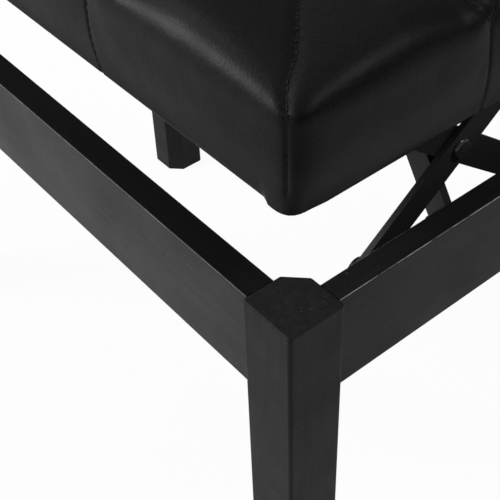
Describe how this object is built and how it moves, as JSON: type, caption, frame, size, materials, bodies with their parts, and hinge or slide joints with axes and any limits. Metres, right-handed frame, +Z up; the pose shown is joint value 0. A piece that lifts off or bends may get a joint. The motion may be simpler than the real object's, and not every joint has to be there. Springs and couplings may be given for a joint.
{
  "type": "piano stool",
  "caption": "Black wooden piano stool with a tufted vinyl seat on a knob-driven scissor lift.",
  "frame": {"origin": "on the floor under the middle of the stool", "axes": "+X along the long side away from the knob, +Y from the front to the back, +Z up"},
  "size_m": [0.61, 0.347, 0.536],
  "materials": {
    "black_lacquer": "satin black lacquer over wood",
    "bare_wood": "raw plywood and softwood",
    "black_vinyl": "black grained vinyl",
    "foam": "open-cell foam",
    "black_plastic": "moulded matt black",
    "black_steel": "black powder coat",
    "bright_steel": "zinc-plated steel",
    "brass": "turned brass"
  },
  "bodies": {
    "frame": {"front_left_leg": "black_lacquer", "front_right_leg": "black_lacquer", "back_left_leg": "black_lacquer", "back_right_leg": "black_lacquer", "front_rail": "black_lacquer", "back_rail": "black_lacquer", "left_rail": "black_lacquer", "right_rail": "black_lacquer", "floor_glides": "black_plastic", "rail_dowels": "bare_wood", "corner_plates": "black_steel", "hanger_bolts": "bright_steel", "corner_nuts": "bright_steel", "corner_washers": "bright_steel", "frame_screws": "bright_steel", "right_base_angle": "black_steel", "left_base_angle": "black_steel", "right_lower_pivot_pin": "bright_steel", "left_lower_pivot_pin": "bright_steel", "right_strut_foot_pin": "bright_steel", "left_strut_foot_pin": "bright_steel"},
    "seat": {"seat_front_board": "bare_wood", "seat_back_board": "bare_wood", "seat_left_board": "bare_wood", "seat_right_board": "bare_wood", "seat_deck": "bare_wood", "deck_screws": "bright_steel", "seat_foam": "foam", "seat_cover": "black_vinyl", "tuft_buttons": "black_vinyl", "right_upper_angle": "black_steel", "left_upper_angle": "black_steel", "seat_steel_screws": "bright_steel", "right_upper_pivot_pin": "bright_steel", "left_upper_pivot_pin": "bright_steel", "screw_bushes": "brass", "centre_hanger": "black_steel"},
    "screw": {"lead_screw": "bright_steel", "height_knob": "black_plastic", "knob_grub_screw": "bright_steel", "screw_collars": "bright_steel"},
    "right_outer_arm": {"right_outer_arm": "black_steel", "right_centre_rivet": "bright_steel", "right_upper_slide_pin": "bright_steel", "right_upper_spacer": "bright_steel"},
    "right_inner_arm": {"right_inner_arm": "black_steel", "right_lower_slide_pin": "bright_steel"},
    "right_nut": {"right_drive_nut": "black_steel", "right_strut_head_pin": "bright_steel"},
    "right_strut": {"right_strut": "black_steel"},
    "left_outer_arm": {"left_outer_arm": "black_steel", "left_centre_rivet": "bright_steel", "left_upper_slide_pin": "bright_steel", "left_upper_spacer": "bright_steel"},
    "left_inner_arm": {"left_inner_arm": "black_steel", "left_lower_slide_pin": "bright_steel"},
    "left_nut": {"left_drive_nut": "black_steel", "left_strut_head_pin": "bright_steel"},
    "left_strut": {"left_strut": "black_steel"}
  },
  "joints": [
    {"name": "seat_lift", "type": "hinge", "parent": "frame", "child": "right_outer_arm", "pos_m": [0.25895, -0.07612, 0.364], "axis": [1, 0, 0], "range_deg": [-16.01, 0]},
    {"name": "right_arm_cross", "type": "hinge", "parent": "right_outer_arm", "child": "right_inner_arm", "pos_m": [0.25895, 0, 0.422], "axis": [1, 0, 0], "range_deg": [0, 32.03]},
    {"name": "seat_level", "type": "hinge", "parent": "right_inner_arm", "child": "seat", "pos_m": [0.25895, -0.07612, 0.48], "axis": [1, 0, 0], "range_deg": [-16.02, 0]},
    {"name": "left_arm_foot", "type": "hinge", "parent": "frame", "child": "left_outer_arm", "pos_m": [-0.25895, -0.07612, 0.364], "axis": [1, 0, 0], "range_deg": [-16.02, 0]},
    {"name": "left_arm_cross", "type": "hinge", "parent": "left_outer_arm", "child": "left_inner_arm", "pos_m": [-0.25895, 0, 0.422], "axis": [1, 0, 0], "range_deg": [0, 32.03]},
    {"name": "knob_turn", "type": "hinge", "parent": "seat", "child": "screw", "pos_m": [0, 0, 0.478], "axis": [1, 0, 0], "range_deg": [0, 3676.27]},
    {"name": "right_nut_slide", "type": "slide", "parent": "seat", "child": "right_nut", "axis": [1, 0, 0], "range_m": [-0.04085, 0]},
    {"name": "left_nut_slide", "type": "slide", "parent": "seat", "child": "left_nut", "axis": [1, 0, 0], "range_m": [0, 0.04085]},
    {"name": "right_strut_foot", "type": "hinge", "parent": "frame", "child": "right_strut", "pos_m": [0.2572, 0, 0.36], "axis": [0, 1, 0], "range_deg": [-31.36, 0]},
    {"name": "left_strut_foot", "type": "hinge", "parent": "frame", "child": "left_strut", "pos_m": [-0.2572, 0, 0.36], "axis": [0, 1, 0], "range_deg": [0, 31.36]}
  ],
  "couplings": [
    {"joint": "right_arm_cross", "follows": "seat_lift", "ratio": -2},
    {"joint": "seat_level", "follows": "seat_lift", "ratio": 1},
    {"joint": "left_arm_foot", "follows": "seat_lift", "ratio": 1},
    {"joint": "left_arm_cross", "follows": "seat_lift", "ratio": -2},
    {"joint": "knob_turn", "follows": "seat_lift", "ratio": -229.55},
    {"joint": "right_nut_slide", "follows": "seat_lift", "m_per_rad": 0.14613},
    {"joint": "left_nut_slide", "follows": "seat_lift", "m_per_rad": -0.14613},
    {"joint": "right_strut_foot", "follows": "seat_lift", "ratio": 1.9583},
    {"joint": "left_strut_foot", "follows": "seat_lift", "ratio": -1.9583}
  ]
}
